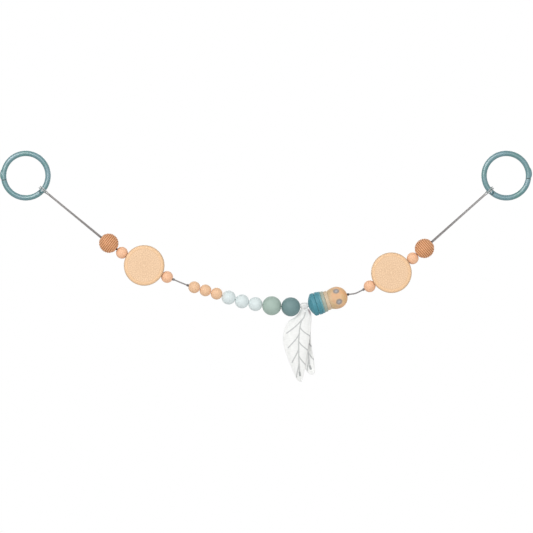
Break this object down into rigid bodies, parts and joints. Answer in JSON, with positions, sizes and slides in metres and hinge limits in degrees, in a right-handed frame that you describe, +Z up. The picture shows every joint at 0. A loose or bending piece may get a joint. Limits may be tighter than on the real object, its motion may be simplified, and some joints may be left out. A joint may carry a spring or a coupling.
{
  "type": "pram chain toy",
  "caption": "Pram chain: wooden beads, two flat discs and a cloth-winged dragonfly strung on a cord between two plastic snap rings.",
  "frame": {"origin": "centre of the left ring's opening, on the middle plane of the ring", "axes": "+X from the left ring to the right ring, +Z up, -Y the front that the dragonfly's eyes face"},
  "size_m": [0.5506, 0.0238, 0.2391],
  "materials": {
    "body_green": "satin painted",
    "body_teal": "satin painted",
    "cord": "matt twisted cotton",
    "cotton": "woven cotton, printed lines",
    "disc_wood": "smooth, fine engraved lines",
    "grooved_wood": "turned, stained brown",
    "head_wood": "satin natural",
    "hinge_steel": "plain",
    "natural_wood": "smooth, natural",
    "neck_beige": "satin natural",
    "pale_blue": "satin painted",
    "peach_wood": "smooth, peach stain",
    "ring_plastic": "glossy moulded",
    "sage": "satin painted",
    "slate_teal": "satin painted"
  },
  "bodies": {
    "strand": {"main_cord": "cord", "left_sling": "cord", "right_sling": "cord", "left_outer_knot": "cord", "left_inner_knot": "cord", "right_inner_knot": "cord", "right_outer_knot": "cord"},
    "left_ring": {"left_ring_bow": "ring_plastic", "left_hinge_pin": "hinge_steel"},
    "left_gate": {"left_ring_gate": "ring_plastic"},
    "right_ring": {"right_ring_bow": "ring_plastic", "right_hinge_pin": "hinge_steel"},
    "right_gate": {"right_ring_gate": "ring_plastic"},
    "left_grooved_bead": {"left_grooved_bead": "grooved_wood"},
    "left_outer_small_bead": {"left_outer_small_bead": "peach_wood"},
    "left_disc": {"left_disc": "disc_wood"},
    "left_inner_small_bead": {"left_inner_small_bead": "peach_wood"},
    "natural_bead_1": {"natural_bead_1": "natural_wood"},
    "natural_bead_2": {"natural_bead_2": "natural_wood"},
    "natural_bead_3": {"natural_bead_3": "natural_wood"},
    "pale_bead_1": {"pale_bead_1": "pale_blue"},
    "pale_bead_2": {"pale_bead_2": "pale_blue"},
    "pale_bead_3": {"pale_bead_3": "pale_blue"},
    "sage_bead": {"sage_bead": "sage"},
    "slate_bead": {"slate_bead": "slate_teal"},
    "body_cap": {"body_cap": "body_teal"},
    "body_slice_teal": {"body_slice_teal": "body_teal"},
    "body_slice_thin": {"body_slice_thin": "body_teal"},
    "body_slice_green": {"body_slice_green": "body_green"},
    "neck_slice": {"neck_slice": "neck_beige"},
    "head": {"head": "head_wood"},
    "right_inner_small_bead": {"right_inner_small_bead": "peach_wood"},
    "right_disc": {"right_disc": "disc_wood"},
    "right_outer_small_bead": {"right_outer_small_bead": "peach_wood"},
    "right_grooved_bead": {"right_grooved_bead": "grooved_wood"},
    "wing_sleeve": {"wing_sleeve": "cotton"},
    "front_wing": {"front_wing": "cotton"},
    "rear_wing": {"rear_wing": "cotton"}
  },
  "joints": [
    {"name": "left_ring_turn", "type": "hinge", "parent": "strand", "child": "left_ring", "pos_m": [0, 0, 0], "axis": [0, 1, 0], "range_deg": [0, 195]},
    {"name": "left_gate_swing", "type": "hinge", "parent": "left_ring", "child": "left_gate", "pos_m": [0.01668, 0, -0.01583], "axis": [0, -1, 0], "range_deg": [0, 45]},
    {"name": "right_ring_turn", "type": "hinge", "parent": "strand", "child": "right_ring", "pos_m": [0.4973, 0, 0], "axis": [0, -1, 0], "range_deg": [0, 195]},
    {"name": "right_gate_swing", "type": "hinge", "parent": "right_ring", "child": "right_gate", "pos_m": [0.48176, 0, -0.01696], "axis": [0, 1, 0], "range_deg": [0, 45]},
    {"name": "left_grooved_bead_spin", "type": "hinge", "parent": "strand", "child": "left_grooved_bead", "pos_m": [0.08591, 0, -0.06995], "axis": [0.7953, 0, -0.6062], "continuous": true},
    {"name": "left_outer_small_bead_spin", "type": "hinge", "parent": "strand", "child": "left_outer_small_bead", "pos_m": [0.09943, 0, -0.07982], "axis": [0.8221, 0, -0.5694], "continuous": true},
    {"name": "left_disc_spin", "type": "hinge", "parent": "strand", "child": "left_disc", "pos_m": [0.12252, 0, -0.09297], "axis": [0.8805, 0, -0.4741], "continuous": true},
    {"name": "left_inner_small_bead_spin", "type": "hinge", "parent": "strand", "child": "left_inner_small_bead", "pos_m": [0.14623, 0, -0.10495], "axis": [0.9321, 0, -0.3622], "continuous": true},
    {"name": "natural_bead_1_spin", "type": "hinge", "parent": "strand", "child": "natural_bead_1", "pos_m": [0.17436, 0, -0.11556], "axis": [0.9612, 0, -0.2759], "continuous": true},
    {"name": "natural_bead_2_spin", "type": "hinge", "parent": "strand", "child": "natural_bead_2", "pos_m": [0.18592, 0, -0.11879], "axis": [0.9647, 0, -0.2634], "continuous": true},
    {"name": "natural_bead_3_spin", "type": "hinge", "parent": "strand", "child": "natural_bead_3", "pos_m": [0.19743, 0, -0.12216], "axis": [0.9546, 0, -0.298], "continuous": true},
    {"name": "pale_bead_1_spin", "type": "hinge", "parent": "strand", "child": "pale_bead_1", "pos_m": [0.20995, 0, -0.12616], "axis": [0.9509, 0, -0.3094], "continuous": true},
    {"name": "pale_bead_2_spin", "type": "hinge", "parent": "strand", "child": "pale_bead_2", "pos_m": [0.22367, 0, -0.13013], "axis": [0.9695, 0, -0.245], "continuous": true},
    {"name": "pale_bead_3_spin", "type": "hinge", "parent": "strand", "child": "pale_bead_3", "pos_m": [0.23766, 0, -0.13292], "axis": [0.9892, 0, -0.1463], "continuous": true},
    {"name": "sage_bead_spin", "type": "hinge", "parent": "strand", "child": "sage_bead", "pos_m": [0.25457, 0, -0.13469], "axis": [0.9973, 0, -0.0736], "continuous": true},
    {"name": "slate_bead_spin", "type": "hinge", "parent": "strand", "child": "slate_bead", "pos_m": [0.27426, 0, -0.13582], "axis": [0.9991, 0, -0.0414], "continuous": true},
    {"name": "body_cap_spin", "type": "hinge", "parent": "strand", "child": "body_cap", "pos_m": [0.29669, 0, -0.13394], "axis": [0.9574, 0, 0.2888], "continuous": true},
    {"name": "body_slice_teal_spin", "type": "hinge", "parent": "strand", "child": "body_slice_teal", "pos_m": [0.30284, 0, -0.13208], "axis": [0.9574, 0, 0.2888], "continuous": true},
    {"name": "body_slice_thin_spin", "type": "hinge", "parent": "strand", "child": "body_slice_thin", "pos_m": [0.3059, 0, -0.13116], "axis": [0.9574, 0, 0.2888], "continuous": true},
    {"name": "body_slice_green_spin", "type": "hinge", "parent": "strand", "child": "body_slice_green", "pos_m": [0.30863, 0, -0.13034], "axis": [0.9574, 0, 0.2888], "continuous": true},
    {"name": "neck_slice_spin", "type": "hinge", "parent": "strand", "child": "neck_slice", "pos_m": [0.31198, 0, -0.12933], "axis": [0.9574, 0, 0.2888], "continuous": true},
    {"name": "head_spin", "type": "hinge", "parent": "strand", "child": "head", "pos_m": [0.32162, 0, -0.12642], "axis": [0.9574, 0, 0.2888], "continuous": true},
    {"name": "right_inner_small_bead_spin", "type": "hinge", "parent": "strand", "child": "right_inner_small_bead", "pos_m": [0.3558, 0, -0.11456], "axis": [0.8846, 0, 0.4663], "continuous": true},
    {"name": "right_disc_spin", "type": "hinge", "parent": "strand", "child": "right_disc", "pos_m": [0.37836, 0, -0.1005], "axis": [0.8377, 0, 0.5461], "continuous": true},
    {"name": "right_outer_small_bead_spin", "type": "hinge", "parent": "strand", "child": "right_outer_small_bead", "pos_m": [0.40038, 0, -0.0856], "axis": [0.792, 0, 0.6105], "continuous": true},
    {"name": "right_grooved_bead_spin", "type": "hinge", "parent": "strand", "child": "right_grooved_bead", "pos_m": [0.4126, 0, -0.07534], "axis": [0.7495, 0, 0.6619], "continuous": true},
    {"name": "wings_turn", "type": "hinge", "parent": "strand", "child": "wing_sleeve", "pos_m": [0.28826, 0, -0.13576], "axis": [0.9929, 0, 0.1191], "range_deg": [-40, 40]},
    {"name": "front_wing_lift", "type": "hinge", "parent": "wing_sleeve", "child": "front_wing", "pos_m": [0.28826, 0, -0.13576], "axis": [-0.9929, 0, -0.1191], "range_deg": [0, 25]},
    {"name": "rear_wing_lift", "type": "hinge", "parent": "wing_sleeve", "child": "rear_wing", "pos_m": [0.28826, 0, -0.13576], "axis": [0.9929, 0, 0.1191], "range_deg": [0, 25]}
  ]
}
